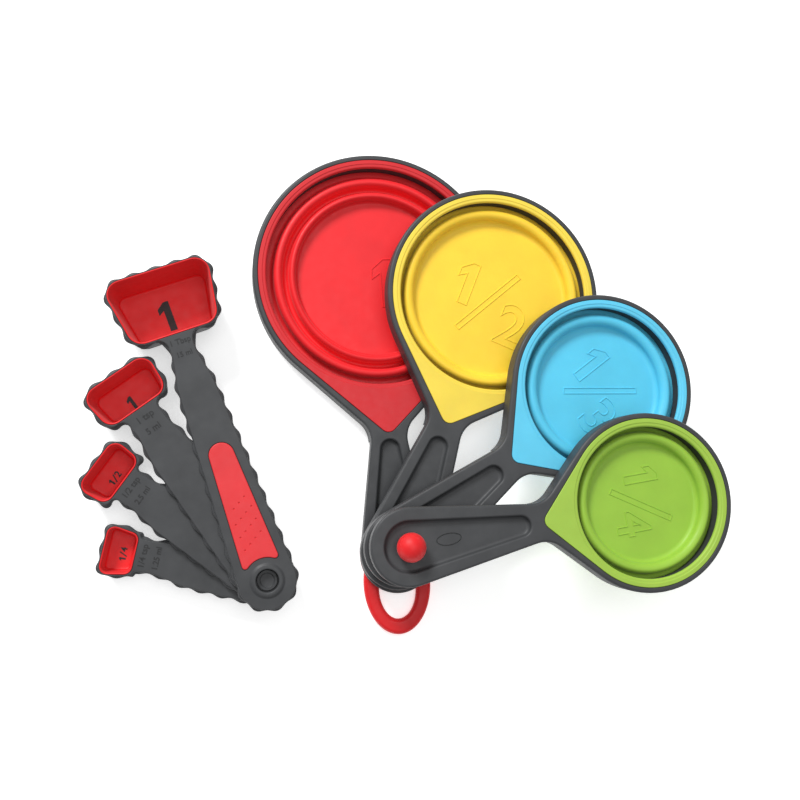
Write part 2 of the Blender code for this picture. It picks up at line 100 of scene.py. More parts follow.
def placed(pin, node, level=0.0):
    """The matrix that turns a piece from +X to a node's direction, and how far the node is from the pin."""
    away = middle_of(node) - pin
    turn = math.atan2(away.y, away.x)
    place = Matrix.Translation((pin.x, pin.y, level)) @ Matrix.Rotation(turn, 4, "Z")
    return place, away.xy.length


print("cup pin", [round(1000 * value, 1) for value in cup_pin], "mm")
print("spoon pin", [round(1000 * value, 1) for value in spoon_pin], "mm")

# %% [markdown]
# ## Flat outlines
#
# Most of these pieces are flat mouldings: a belt round two circles, a ring, or a path with rounded
# corners. A curve object could hold them, but here each outline is a short list of points from a
# formula, because the next step needs to swell and shrink the same outline to round its edges. Half an
# outline is enough, since every piece is the same on both sides of its handle.

# %% Outline tools
POINT_GAP = 0.0009
ON_LINE = 1e-7
ROUNDING_SLACK = 1e-12


def arc(centre, radius, start, end, count):
    """Points on an arc whose centre is on the handle's line."""
    angles = [start + (end - start) * i / count for i in range(count + 1)]
    return [(centre + radius * math.cos(a), radius * math.sin(a)) for a in angles]


def ring(centre, radius, count=132, squash=1.0):
    points = arc(centre, radius, 0, 2 * math.pi, count)[:-1]
    return [(x, y * squash) for x, y in points]


def both_sides(half):
    """Closes a half outline that runs from its far end round the +Y side to its near end."""
    return half + [(x, -y) for x, y in reversed(half) if abs(y) > ON_LINE]


def shared_tangent(far, far_radius, near, near_radius):
    """The direction that faces out of the straight side which touches two circles."""
    along = (near_radius - far_radius) / (far - near)
    return along, math.sqrt(1 - along * along)


def belt(far, far_radius, near, near_radius, count=60):
    normal = shared_tangent(far, far_radius, near, near_radius)
    lean = math.atan2(normal[1], normal[0])
    far_end = arc(far, far_radius, 0, lean, count)
    near_end = arc(near, near_radius, lean, math.pi, count // 2)
    return both_sides(far_end + near_end)


def rounded_corner(before, corner, after, radius, count=10):
    """The arc that rounds one corner."""
    a = (Vector(before) - Vector(corner)).normalized()
    b = (Vector(after) - Vector(corner)).normalized()
    half = math.acos(max(-1, min(1, a.dot(b)))) / 2
    centre = Vector(corner) + (a + b).normalized() * (radius / math.sin(half))
    start = Vector(corner) + a * (radius / math.tan(half)) - centre
    end = Vector(corner) + b * (radius / math.tan(half)) - centre
    first = math.atan2(start.y, start.x)
    turn = (math.atan2(end.y, end.x) - first + math.pi) % (2 * math.pi) - math.pi
    angles = [first + turn * i / count for i in range(count + 1)]
    return [(centre.x + radius * math.cos(t), centre.y + radius * math.sin(t)) for t in angles]


def rounded_path(corners):
    """An open path through (x, y, radius) corners, whose two ends stay as they are."""
    path = [corners[0][:2]]
    for before, corner, after in zip(corners, corners[1:], corners[2:]):
        path += rounded_corner(before[:2], corner[:2], after[:2], corner[2])
    return path + [corners[-1][:2]]


def evenly(path, gap=POINT_GAP):
    """The same closed outline with its points spread evenly, about one gap apart."""
    ends = path[1:] + path[:1]
    lengths = [math.dist(here, there) for here, there in zip(path, ends)]
    count = round(sum(lengths) / gap)
    step = sum(lengths) / count
    points = []
    piece, passed = 0, 0.0
    for i in range(count):
        while piece + 1 < len(path) and passed + lengths[piece] <= i * step + ROUNDING_SLACK:
            passed += lengths[piece]
            piece += 1
        share = (i * step - passed) / lengths[piece]
        (x0, y0), (x1, y1) = path[piece], ends[piece]
        points.append((x0 + (x1 - x0) * share, y0 + (y1 - y0) * share))
    return points


print("a 10 mm ring has", len(evenly(ring(0, 0.010))), "points")

# %% [markdown]
# ## Walls and caps
#
# A moulded part never has a knife edge: its rims are rounded, and those thin roundings are what catch
# the light. A Bevel modifier could round them afterwards, but it struggles where many short edges meet.
# Here the walls are built with their roundings in them. A wall is the same outline repeated at several
# heights, a little smaller or larger each time, and a cap fills the flat face that is left between the
# walls' ends.

# %% Build walls, caps and turned shapes


def swollen(path, outset, wave=0.0, waves=0):
    """An outline moved outwards by its outset, with a wave added along it."""
    points = []
    for i, (x, y) in enumerate(path):
        before, after = path[i - 1], path[(i + 1) % len(path)]
        dx, dy = after[0] - before[0], after[1] - before[1]
        reach = outset + wave * math.cos(2 * math.pi * waves * i / len(path))
        push = reach / math.hypot(dx, dy)
        points.append((x + dy * push, y - dx * push))
    return points


def wall(cage, path, steps, waves=0):
    """A wall down an outline, by steps of outset, height and sometimes wave. Gives its two end rings."""
    rings = []
    for outset, height, *wave in steps:
        spots = swollen(path, outset, *wave, waves=waves) if wave else swollen(path, outset)
        rings.append([cage.verts.new((x, y, height)) for x, y in spots])
    for upper, lower in zip(rings, rings[1:]):
        for i in range(len(upper)):
            cage.faces.new((upper[i - 1], upper[i], lower[i], lower[i - 1]))
    return rings[0], rings[-1]


def cap(cage, *rings):
    """Fills the flat face between one or more rings of points."""
    edges = []
    for points in rings:
        edges += [cage.edges.get((points[i - 1], points[i])) for i in range(len(points))]
    bmesh.ops.triangle_fill(cage, edges=edges, use_beauty=True, normal=(0, 0, 1))


def edge_steps(high, low, top_round=0.0, foot_round=0.0, side=1, count=5):
    """(outset, height) down a wall with a rounded top and foot. The side is 1 outside, or -1 in a hole."""
    turns = [math.pi / 2 * i / count for i in range(count + 1)]
    steps = [(side * top_round * (math.sin(t) - 1), high - top_round * (1 - math.cos(t))) for t in turns]
    feet = [(foot_round * (math.cos(t) - 1), low + foot_round * (1 - math.sin(t))) for t in turns]
    return (steps if top_round else [(0.0, high)]) + (feet if foot_round else [(0.0, low)])


def leaning(steps, draft):
    """The same wall drawn in towards its foot, as a moulding must be to leave its mould."""
    high = steps[0][1]
    return [(outset - (high - height) * math.tan(draft), height) for outset, height in steps]


def turned(cage, profile, centre, closed=True, count=132):
    """A profile of (radius, height) points turned about an upright line on the handle."""
    rings = []
    for radius, height in profile:
        if radius < ON_LINE:
            rings.append([cage.verts.new((centre, 0, height))] * count)
        else:
            rings.append([cage.verts.new((x, y, height)) for x, y in ring(centre, radius, count)])
    for upper, lower in zip(rings, rings[1:] + (rings[:1] if closed else [])):
        for i in range(count):
            corners = dict.fromkeys((upper[i - 1], upper[i], lower[i], lower[i - 1]))
            if len(corners) > 2:
                cage.faces.new(list(corners))


# %% [markdown]
# ## From a cage of points to a finished piece
#
# Every piece goes through the same last steps: its faces are turned outwards, it is moved to its place,
# it is shaded smooth except at true corners, and it is tied to the body that carries it. A Weighted
# Normal modifier keeps the wide flat faces looking flat beside their narrow roundings.

# %% Finish a piece
CORNER = math.radians(42)
FLAT_FACE_WEIGHT = 60


def shaded(obj):
    obj.data.shade_smooth()
    obj.data.set_sharp_from_angle(angle=CORNER)
    weighted = obj.modifiers.new("Flat faces", "WEIGHTED_NORMAL")
    weighted.keep_sharp = True
    weighted.weight = FLAT_FACE_WEIGHT


def object_from(cage, name, place):
    """Turns a cage into an object, with its faces outwards, in its place in the set."""
    bmesh.ops.recalc_face_normals(cage, faces=cage.faces)
    mesh = bpy.data.meshes.new(name)
    cage.to_mesh(mesh)
    cage.free()
    mesh.transform(place)
    obj = bpy.data.objects.new(name, mesh)
    bpy.context.scene.collection.objects.link(obj)
    return obj


def piece(cage, name, place, material, body, slot, *nodes):
    """Makes the object, and says which body it rides on and which plain nodes it stands for."""
    obj = object_from(cage, name, place)
    obj.data.materials.append(material)
    shaded(obj)
    if body:
        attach(obj, body)
    if nodes:
        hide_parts(*nodes)
    return obj


def cut_or_join(obj, other, operation):
    """A Boolean, made final at once so that the piece holds no hidden helper."""
    modifier = obj.modifiers.new("Shape", "BOOLEAN")
    modifier.operation = operation
    modifier.solver = "EXACT"
    modifier.object = other
    for extra in [m for m in obj.modifiers if m.type == "WEIGHTED_NORMAL"]:
        obj.modifiers.remove(extra)
    bpy.context.view_layer.update()
    graph = bpy.context.evaluated_depsgraph_get()
    mesh = bpy.data.meshes.new_from_object(obj.evaluated_get(graph))
    obj.modifiers.clear()
    obj.data = mesh
    mesh.name = obj.name
    bpy.data.objects.remove(other)
    shaded(obj)


# %% [markdown]
# ## Materials
#
# Two kinds of material make the whole set. The grey parts are a plastic with a soft satin skin: very
# fine grain, a faint cloudiness, and a broad dull gloss. The coloured parts are silicone rubber, which is
# a little softer to the light: light enters it and comes out nearby, so its shadows fill with its own
# colour, and fine dust on it gives a pale sheen at grazing angles. A painted image could carry all this,
# but noise at three sizes drives each one's colour, gloss and grain at any scale without a seam. Numbers
# that are the same everywhere are set on the shader itself.

# %% Make the grey plastic and the silicones
NOISE_LOW = 0.3
NOISE_HIGH = 0.7
GRAIN_DEPTH = 0.00004
GRAIN_DETAIL = 2.0


def blank_material(name):
    material = bpy.data.materials.new(name)
    material.use_nodes = True
    tree = material.node_tree
    return material, tree, tree.nodes["Principled BSDF"]


def noise(tree, scale, detail=4.0):
    """Noise in the object's own space, in features of about 1 / scale metres."""
    coordinates = tree.nodes.new("ShaderNodeTexCoord")
    texture = tree.nodes.new("ShaderNodeTexNoise")
    texture.inputs["Scale"].default_value = scale
    texture.inputs["Detail"].default_value = detail
    tree.links.new(coordinates.outputs["Object"], texture.inputs["Vector"])
    return texture.outputs["Fac"]


def shade_range(tree, value, dark, light):
    ramp = tree.nodes.new("ShaderNodeValToRGB")
    ramp.color_ramp.elements[0].position = NOISE_LOW
    ramp.color_ramp.elements[1].position = NOISE_HIGH
    ramp.color_ramp.elements[0].color = (*dark, 1)
    ramp.color_ramp.elements[1].color = (*light, 1)
    tree.links.new(value, ramp.inputs["Fac"])
    return ramp.outputs["Color"]


def number_range(tree, value, low, high):
    span = tree.nodes.new("ShaderNodeMapRange")
    span.inputs["From Min"].default_value = NOISE_LOW
    span.inputs["From Max"].default_value = NOISE_HIGH
    span.inputs["To Min"].default_value = low
    span.inputs["To Max"].default_value = high
    tree.links.new(value, span.inputs["Value"])
    return span.outputs["Result"]


def grain(tree, shader, scale, strength):
    value = noise(tree, scale, GRAIN_DETAIL)
    bump = tree.nodes.new("ShaderNodeBump")
    bump.inputs["Strength"].default_value = strength
    bump.inputs["Distance"].default_value = GRAIN_DEPTH
    tree.links.new(value, bump.inputs["Height"])
    tree.links.new(bump.outputs["Normal"], shader.inputs["Normal"])


def clouded(tree, shader, scale, colour, spread):
    """A colour that drifts a little darker and lighter over the piece."""
    dark = [value * (1 - spread) for value in colour]
    light = [min(1, value * (1 + spread)) for value in colour]
    tree.links.new(shade_range(tree, noise(tree, scale), dark, light), shader.inputs["Base Color"])


def satin_plastic(name, colour, gloss=(0.42, 0.54)):
    material, tree, shader = blank_material(name)
    clouded(tree, shader, 90, colour, 0.12)
    tree.links.new(number_range(tree, noise(tree, 260), *gloss), shader.inputs["Roughness"])
    grain(tree, shader, 2600, 0.35)
    shader.inputs["Specular IOR Level"].default_value = 0.32
    return material


def silicone(name, colour):
    material, tree, shader = blank_material(name)
    clouded(tree, shader, 70, colour, 0.05)
    tree.links.new(number_range(tree, noise(tree, 300), 0.42, 0.55), shader.inputs["Roughness"])
    grain(tree, shader, 2200, 0.3)
    shader.inputs["Subsurface Weight"].default_value = 0.12
    shader.inputs["Subsurface Scale"].default_value = 0.0007
    shader.inputs["Subsurface Radius"].default_value = (1.0, 0.5, 0.3)
    shader.inputs["Sheen Weight"].default_value = 0.08
    shader.inputs["Sheen Roughness"].default_value = 0.5
    shader.inputs["Specular IOR Level"].default_value = 0.36
    return material


grey = satin_plastic("grey satin plastic", (0.050, 0.052, 0.055))
ink = satin_plastic("dark grey figures", (0.026, 0.027, 0.028), gloss=(0.5, 0.6))
bowl_silicones = {
    "cup_1": silicone("red bowl silicone", (0.80, 0.014, 0.020)),
    "cup_1_2": silicone("yellow bowl silicone", (0.92, 0.62, 0.040)),
    "cup_1_3": silicone("sky blue bowl silicone", (0.095, 0.56, 0.79)),
    "cup_1_4": silicone("lime green bowl silicone", (0.30, 0.52, 0.050)),
}
# The collars are tinted copies of the bowls' silicone. Their lighter or darker tone is painted light,
# standing in for how the light falls on the flat collar tops compared with the deeper floors.
collar_silicones_painted_light = {
    "cup_1": silicone("red collar silicone, painted light tone", (0.60, 0.016, 0.022)),
    "cup_1_2": silicone("yellow collar silicone, painted light tone", (0.84, 0.64, 0.070)),
    "cup_1_3": silicone("sky blue collar silicone, painted light tone", (0.110, 0.56, 0.79)),
    "cup_1_4": silicone("lime green collar silicone, painted light tone", (0.34, 0.53, 0.065)),
}
spoon_red = silicone("red spoon lining", (0.72, 0.010, 0.013))
pad_red = silicone("red pad silicone", (0.70, 0.030, 0.036))
loop_red = silicone("red loop silicone", (0.70, 0.009, 0.013))
print("materials:", len(bpy.data.materials))

# %% [markdown]
# ## The cups' shared sizes
#
# All four cups are made to one pattern, so that they stack on one pin: the same 9 mm ring, the same
# handle, and a coloured collar let into the ring's top. Only the bowl's size and the handle's length
# change. The height of each cup in the stack is read from the frame.

# %% Sizes that every cup shares
RING_HEIGHT = 0.0090
COLLAR_BAND = 0.0034
COLLAR_THICKNESS = 0.0016
SEAM = 0.00015
FRAME_BORDER = 0.0023
TIP_RADIUS = 0.0036
TIP_BORDER = 0.0034
TIP_HALF_ANGLE = math.radians(47)
LIP_OVERHANG = 0.0005
HANDLE_THICKNESS = 0.0047
NECK_HALF_WIDTH = 0.0080
NECK_FILLET = 0.0110
HANDLE_END_RADIUS = 0.0156
POCKET_DEPTH = 0.0024
POCKET_WIDE_RADIUS = 0.0108
POCKET_NARROW_RADIUS = 0.0040
POCKET_TO_TIP = 0.0050
PIN_HOLE_RADIUS = 0.0038
FLANGE_WIDTH = 0.0020
SILICONE_WALL = 0.0011
FLOOR_TOP = 0.0012
RIDGE_TOP = 0.0056

# name, opening radius, floor radius, how far the handle's round end is set back from the pin
CUPS = (
    ("cup_1", 0.0477, 0.0336, 0.0050),
    ("cup_1_2", 0.0412, 0.0327, 0.0030),
    ("cup_1_3", 0.0347, 0.0258, 0.0012),
    ("cup_1_4", 0.0312, 0.0232, 0.0000),
)

cup_places = {}
for name, *_ in CUPS:
    middle = f"{name}_bowl_floor" if name == "cup_1" else f"{name}_bowl"
    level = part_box(f"{name}_frame")[0].z
    place, reach = placed(cup_pin, middle, level)
    cup_places[name] = place, reach
    print(name, "bowl", round(1000 * reach, 1), "mm from the pin, level", round(1000 * level, 1))

# %% [markdown]
# ## The grey frames
#
# A frame is one moulding: a ring, a neck and a handle with a long pocket sunk in it, which saves plastic
# and stops the thick part from shrinking. Its outline is a ring whose straight sides run in to the neck,
# where a hollow curve leads on into the handle. The collar sits in a shallow seat, and the bowl hangs in
# the round bore. It could be several joined pieces, but one outline keeps the long edge unbroken. The
# ring is deeper than the handle, so the space under the handle is cut away last.

# %% Outlines of a cup


def collar_tip(reach, opening):
    corner = reach - (opening + COLLAR_BAND) / math.sin(TIP_HALF_ANGLE)
    return corner + TIP_RADIUS / math.sin(TIP_HALF_ANGLE)


def collar_outline(reach, opening, grow=0.0):
    tip = collar_tip(reach, opening)
    return evenly(belt(reach, opening + COLLAR_BAND + grow, tip, TIP_RADIUS + grow))


def crossing(normal_a, reach_a, normal_b, reach_b):
    """Where two lines meet, each given by the direction that it faces and its distance that way."""
    det = normal_a[0] * normal_b[1] - normal_a[1] * normal_b[0]
    x = (reach_a * normal_b[1] - reach_b * normal_a[1]) / det
    return x, (normal_a[0] * reach_b - normal_b[0] * reach_a) / det


def frame_outline(reach, opening, set_back):
    tip = collar_tip(reach, opening)
    ring_radius = opening + COLLAR_BAND + FRAME_BORDER
    neck = tip - TIP_RADIUS - POCKET_TO_TIP
    ring_normal = shared_tangent(reach, ring_radius, tip, TIP_RADIUS + TIP_BORDER)
    side_normal = shared_tangent(neck, NECK_HALF_WIDTH, -set_back, HANDLE_END_RADIUS)
    ring_reach = ring_radius + reach * ring_normal[0]
    side_reach = HANDLE_END_RADIUS - set_back * side_normal[0]
    corner = crossing(ring_normal, ring_reach, side_normal, side_reach)
    half = arc(reach, ring_radius, 0, math.atan2(ring_normal[1], ring_normal[0]), 60)
    end = arc(-set_back, HANDLE_END_RADIUS, math.atan2(side_normal[1], side_normal[0]), math.pi, 30)
    half += rounded_corner(half[-1], corner, end[0], NECK_FILLET, 16)
    return evenly(both_sides(half + end))


# %% [markdown]
# The top handle also carries a small engraved oval on its pocket floor. It is an empty plate mark: a
# shallow groove between two ovals.

# %% Build the frames
RIM_ROUND = 0.0011
FOOT_ROUND = 0.0005
SEAT_ROUND = 0.0003
FLANGE_SPACE = 0.0018
POCKET_RIM_ROUND = 0.0009
POCKET_FLOOR_ROUND = 0.0014
POCKET_INSET = 0.0008
POCKET_SHORTER = {"cup_1": -0.0018, "cup_1_2": 0.0018, "cup_1_3": 0.0018, "cup_1_4": 0.0010}
OVAL_FROM_PIN = 0.0163
OVAL_LENGTH = 0.0105
OVAL_SQUASH = 0.48
GROOVE_WIDTH = 0.0005
GROOVE_DEPTH = 0.0003


def engraved_oval(cage, floor):
    """A groove in the pocket's floor. Gives the ring that the floor's cap stops at."""
    outside = ring(OVAL_FROM_PIN, OVAL_LENGTH / 2, 72, OVAL_SQUASH)
    inside = swollen(outside, -GROOVE_WIDTH)
    outer_top, outer_foot = wall(cage, outside, [(0, floor), (-GROOVE_WIDTH / 3, floor - GROOVE_DEPTH)])
    inner_top, inner_foot = wall(cage, inside, [(0, floor), (GROOVE_WIDTH / 3, floor - GROOVE_DEPTH)])
    cap(cage, outer_foot, inner_foot)
    cap(cage, inner_top)
    return outer_top


def cup_frame(name, opening, set_back):
    place, reach = cup_places[name]
    seat_floor = RING_HEIGHT - COLLAR_THICKNESS - SEAM
    pocket_floor = RING_HEIGHT - POCKET_DEPTH
    tip = collar_tip(reach, opening)
    pocket_end = tip - TIP_RADIUS - POCKET_TO_TIP - POCKET_NARROW_RADIUS - POCKET_SHORTER[name]
    pocket = evenly(belt(pocket_end, POCKET_NARROW_RADIUS, 0, POCKET_WIDE_RADIUS - POCKET_INSET, 24))
    rebate = FLANGE_WIDTH - LIP_OVERHANG + SEAM
    cage = bmesh.new()
    outline = frame_outline(reach, opening, set_back)
    edge, foot = wall(cage, outline, edge_steps(RING_HEIGHT, 0, RIM_ROUND, FOOT_ROUND))
    seat_steps = edge_steps(RING_HEIGHT, seat_floor, SEAT_ROUND, side=-1)
    seat, seat_foot = wall(cage, collar_outline(reach, opening, SEAM), seat_steps)
    bore_steps = [(0, seat_floor), (0, FLANGE_SPACE), (rebate, FLANGE_SPACE), (rebate, 0)]
    bore, bore_foot = wall(cage, ring(reach, opening + LIP_OVERHANG), bore_steps)
    pocket_steps = edge_steps(RING_HEIGHT, pocket_floor, POCKET_RIM_ROUND, POCKET_FLOOR_ROUND, -1)
    pocket_rim, floor = wall(cage, pocket, pocket_steps)
    pin_rim, pin_foot = wall(cage, ring(0, PIN_HOLE_RADIUS, 40), [(0, pocket_floor), (0, 0)])
    cap(cage, edge, seat, pocket_rim)
    cap(cage, seat_foot, bore)
    cap(cage, foot, bore_foot, pin_foot)
    if name == "cup_1_4":
        cap(cage, floor, pin_rim, engraved_oval(cage, pocket_floor))
    else:
        cap(cage, floor, pin_rim)
    obj = piece(cage, f"{name}_frame_moulding", place, grey, name, "grey_plastic", f"{name}_frame")
    return clear_under_handle(obj, place, tip - TIP_RADIUS - TIP_BORDER, set_back)


def clear_under_handle(obj, place, skirt_end, set_back):
    """Cuts away the depth of the ring below the handle."""
    room = HANDLE_END_RADIUS + set_back
    wide = 2.4 * room
    cage = bmesh.new()
    low, high = -RING_HEIGHT, RING_HEIGHT - HANDLE_THICKNESS
    bmesh.ops.create_cube(cage, size=1)
    bmesh.ops.scale(cage, verts=cage.verts, vec=(skirt_end + 2 * room, wide, high - low))
    bmesh.ops.translate(cage, verts=cage.verts, vec=(skirt_end / 2 - room, 0, (high + low) / 2))
    cut_or_join(obj, object_from(cage, "under the handle", place), "DIFFERENCE")
    return obj


for name, opening, _, set_back in CUPS:
    moulding = cup_frame(name, opening, set_back)
    print(moulding.name, len(moulding.data.polygons), "faces")

# %% [markdown]
# ## The collars
#
# The collar is the coloured teardrop that lies flush in the frame's top. On the real cup it is moulded
# over the frame, and its inner edge laps a little into the bore, which shades the wall below it. It is
# flat, with a fine rounded edge outside, which leaves a dark hairline to the grey. Round the opening its
# face drops by a hair to a soft rounded edge, which catches the light as a thin line. Colour painted on
# the frame would be simpler, but only a separate piece gives that hairline.

# %% Build the collars
BEAD_WIDTH = 0.0016
BEAD_DROP = 0.00025
BEAD_SLOPE_OUT = 0.00015
BEAD_SLOPE_IN = 0.0002
BEAD_ROUND = 0.0008


def cup_collar(name, opening):
    place, reach = cup_places[name]
    # The collar's tinted copy of the bowl silicone, with painted light in its tone.
    material = collar_silicones_painted_light[name]
    low = RING_HEIGHT - COLLAR_THICKNESS
    cage = bmesh.new()
    outer, outer_foot = wall(cage, collar_outline(reach, opening), edge_steps(RING_HEIGHT, low, SEAT_ROUND))
    inner_steps = [(BEAD_WIDTH + BEAD_SLOPE_OUT, RING_HEIGHT), (BEAD_WIDTH, RING_HEIGHT - BEAD_DROP * 0.6)]
    inner_steps += [(BEAD_WIDTH - BEAD_SLOPE_IN, RING_HEIGHT - BEAD_DROP)]
    inner_steps += edge_steps(RING_HEIGHT - BEAD_DROP, low, BEAD_ROUND, side=-1)
    inner, inner_foot = wall(cage, ring(reach, opening), inner_steps)
    cap(cage, outer, inner)
    cap(cage, outer_foot, inner_foot)
    return piece(cage, f"{name}_collar_ring", place, material, name, f"{name}_silicone", f"{name}_collar")


for name, opening, *_ in CUPS:
    print(cup_collar(name, opening).name)

# %% [markdown]
# ## The folding bowls
#
# A folded bowl is one skin of silicone that runs in from the frame, up over a round ridge and down to a
# flat floor. Stacked rings would show their joints, and a Screw modifier would leave the underside to be
# made apart. Here the skin is a single line turned about the bowl's middle. Each slope is two quarter
# arcs, one hollow at its foot and one round at its crest, and the underside is the same line moved by
# the thickness of the silicone.

# %% Lines of a folded bowl
CREST_SHARE = 0.55


def slope(foot, crest, steps=9):
    """(radius, height) from the foot of a slope to its crest."""
    width, climb = crest - foot, RIDGE_TOP - FLOOR_TOP
    hollow_r, hollow_z = width * (1 - CREST_SHARE), climb * (1 - CREST_SHARE)
    round_r, round_z = width * CREST_SHARE, climb * CREST_SHARE
    meeting = FLOOR_TOP + hollow_z
    turns = [math.pi / 2 * i / steps for i in range(steps + 1)]
    rise = [(foot + hollow_r * math.sin(t), FLOOR_TOP + hollow_z * (1 - math.cos(t))) for t in turns]
    over = [(crest - round_r * math.cos(t), meeting + round_z * math.sin(t)) for t in turns[1:]]
    return rise + over


def underside(line):
    """The same line, moved to the other face of the skin. The line runs outwards."""
    points = []
    for i, (r, z) in enumerate(line):
        before, after = line[max(i - 1, 0)], line[min(i + 1, len(line) - 1)]
        dr, dz = after[0] - before[0], after[1] - before[1]
        span = math.hypot(dr, dz)
        points.append((max(0, r + dz / span * SILICONE_WALL), z - dr / span * SILICONE_WALL))
    return points


def skin(cage, line, centre, closed=True):
    turned(cage, line + underside(line)[::-1], centre, closed)


# %% [markdown]
# The yellow, blue and green bowls stay flat here, since other cups lie under them, so each is a single
# skin: floor, one ridge, and a flange that is held under the frame.

# %% Build the flat bowls
CREST_FROM_OPENING = 0.43
BOWL_TO_BORE = 0.0003
FLAT_START = 0.5


def flat_bowl(name, opening, floor_radius):
    place, reach = cup_places[name]
    material = bowl_silicones[name]
    edge = opening - BOWL_TO_BORE
    crest = edge - (edge - floor_radius) * CREST_FROM_OPENING
    line = [(0, FLOOR_TOP), (floor_radius * FLAT_START, FLOOR_TOP)] + slope(floor_radius, crest)
    line += slope(edge, crest)[::-1][1:] + [(opening + FLANGE_WIDTH, FLOOR_TOP)]
    cage = bmesh.new()
    skin(cage, line, reach, False)
    return piece(cage, f"{name}_folded_bowl", place, material, name, f"{name}_silicone", f"{name}_bowl")


for name, opening, floor_radius, _ in CUPS[1:]:
    print(flat_bowl(name, opening, floor_radius).name)

# %% [markdown]
# The red bowl opens: its floor stays on the table while the folds and the frame rise one after another.
# Its skin has four slopes, cut at the crests and the valleys so that every slope only climbs or only falls,
# and each slope lies between two bodies that move apart. The slopes are built in place and ride on no
# body here; the floor rides on the bowl's floor and the flat rim on the cup.

# %% Build the red bowl in slopes
RED_TURNS = (0.0336, 0.0365, 0.0392, 0.0425, 0.0462)


def red_bowl():
    name, opening, floor_radius, _ = CUPS[0]
    place, reach = cup_places[name]
    material = bowl_silicones[name]
    edge = RED_TURNS[-1]
    stands_for = (
        ("cup_1_bowl_fold_3",),
        ("cup_1_bowl_fold_2",),
        (),
        ("cup_1_bowl_fold_1",),
    )
    for i, nodes in enumerate(stands_for):
        inner, outer = RED_TURNS[i : i + 2]
        climbs = i % 2 == 0
        line = slope(inner, outer, steps=12) if climbs else slope(outer, inner, steps=12)[::-1]
        cage = bmesh.new()
        skin(cage, line, reach)
        obj = piece(cage, f"cup_1_bowl_slope_{i + 1}", place, material, None, "cup_1_silicone", *nodes)
        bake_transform(obj)
    cage = bmesh.new()
    floor_line = [(share * floor_radius, FLOOR_TOP) for share in (0, FLAT_START, 1)]
    skin(cage, floor_line, reach, False)
    piece(cage, "cup_1_bowl_base", place, material, "bowl_floor", "cup_1_silicone", "cup_1_bowl_floor")
    cage = bmesh.new()
    skin(cage, [(edge, FLOOR_TOP), (opening + FLANGE_WIDTH, FLOOR_TOP)], reach)
    piece(cage, "cup_1_bowl_rim", place, material, "cup_1", "cup_1_silicone", "cup_1_bowl_flange")
    return edge


print("the red bowl's folds end", round(1000 * red_bowl(), 1), "mm from its middle")

# %% [markdown]
# ## Numerals
#
# The floors of the cups carry large numerals in thin raised outline, the same colour as the silicone, and
# the spoons carry small dark figures. A text or a drawn curve gives both: with no fill and a fine bevel it
# is a tube along each outline, and with a fill and a slight thickness it is a flat figure. The font's own
# 1 is a bare stroke, so the 1 is drawn here with a flag, and so is the bar of a fraction. Words are laid
# across the handle, with their tops away from the pin. A painted figure would need an image, and a
# Boolean would cut a much heavier mesh, so each figure is its own thin piece.

# %% Lettering
MERGE_DISTANCE = 1e-6
FIGURE_SHARE = 0.73
ONE = ((0.17, -0.5), (0.17, 0.5), (0.00, 0.5), (-0.24, 0.30), (-0.24, 0.10), (-0.06, 0.22), (-0.06, -0.5))
BAR = ((-0.5, -0.5), (0.5, -0.5), (0.5, 0.5), (-0.5, 0.5))


def written(name, words, height, heavy=0.0):
    """Words from the built-in font, as tall as a figure of this height."""
    text = bpy.data.curves.new(name, "FONT")
    text.body = words
    text.size = height / FIGURE_SHARE
    text.align_x = "CENTER"
    text.align_y = "CENTER"
    text.offset = heavy
    return text


def drawn(name, corners, width, height):
    """A closed shape of straight strokes, from corners within a square one unit wide."""
    curve = bpy.data.curves.new(name, "CURVE")
    curve.dimensions = "2D"
    spline = curve.splines.new("POLY")
    spline.points.add(len(corners) - 1)
    for point, (x, y) in zip(spline.points, corners):
        point.co = (x * width, y * height, 0, 1)
    spline.use_cyclic_u = True
    return curve


def laid(curve, place, spot, line, material, body, slot, outline=False, turn=0.0):
    """Turns a curve into a mesh on a surface. The turn is from straight across the handle, in degrees."""
    if outline:
        curve.fill_mode = "NONE"
        curve.bevel_depth = line
        curve.bevel_resolution = 1
    else:
        curve.fill_mode = "BOTH"
        curve.extrude = line
    name = curve.name
    helper = bpy.data.objects.new(name, curve)
    bpy.context.scene.collection.objects.link(helper)
    bpy.context.view_layer.update()
    graph = bpy.context.evaluated_depsgraph_get()
    mesh = bpy.data.meshes.new_from_object(helper.evaluated_get(graph))
    bpy.data.objects.remove(helper)
    mesh.transform(place @ Matrix.Translation(spot) @ Matrix.Rotation(math.radians(turn - 90), 4, "Z"))
    mesh.materials.clear()
    cage = bmesh.new()
    cage.from_mesh(mesh)
    bmesh.ops.remove_doubles(cage, verts=cage.verts, dist=MERGE_DISTANCE)
    return piece(cage, name, Matrix(), material, body, slot)


# %% [markdown]
# A fraction on a cup's floor is a figure up on the left, a long bar, and a figure down on the right.
# The table gives each one's place from the middle of the floor, along the handle and across it.

# %% Numerals on the cups' floors
LINE = 0.00030
BAR_WIDTH = 0.0024

# figure height, the 1's place, the bar's place, length and slant, the lower figure and its place
FRACTIONS = {
    "cup_1_2": (0.0190, (0.0025, 0.0122), (-0.0016, 0.0004), 0.0370, 61, "2", (-0.0090, -0.0130)),
    "cup_1_3": (0.0178, (0.0048, 0.0107), (0.0010, -0.0011), 0.0330, 54, "3", (-0.0079, -0.0095)),
    "cup_1_4": (0.0150, (0.0016, 0.0109), (-0.0005, -0.0010), 0.0290, 58, "4", (-0.0062, -0.0082)),
}

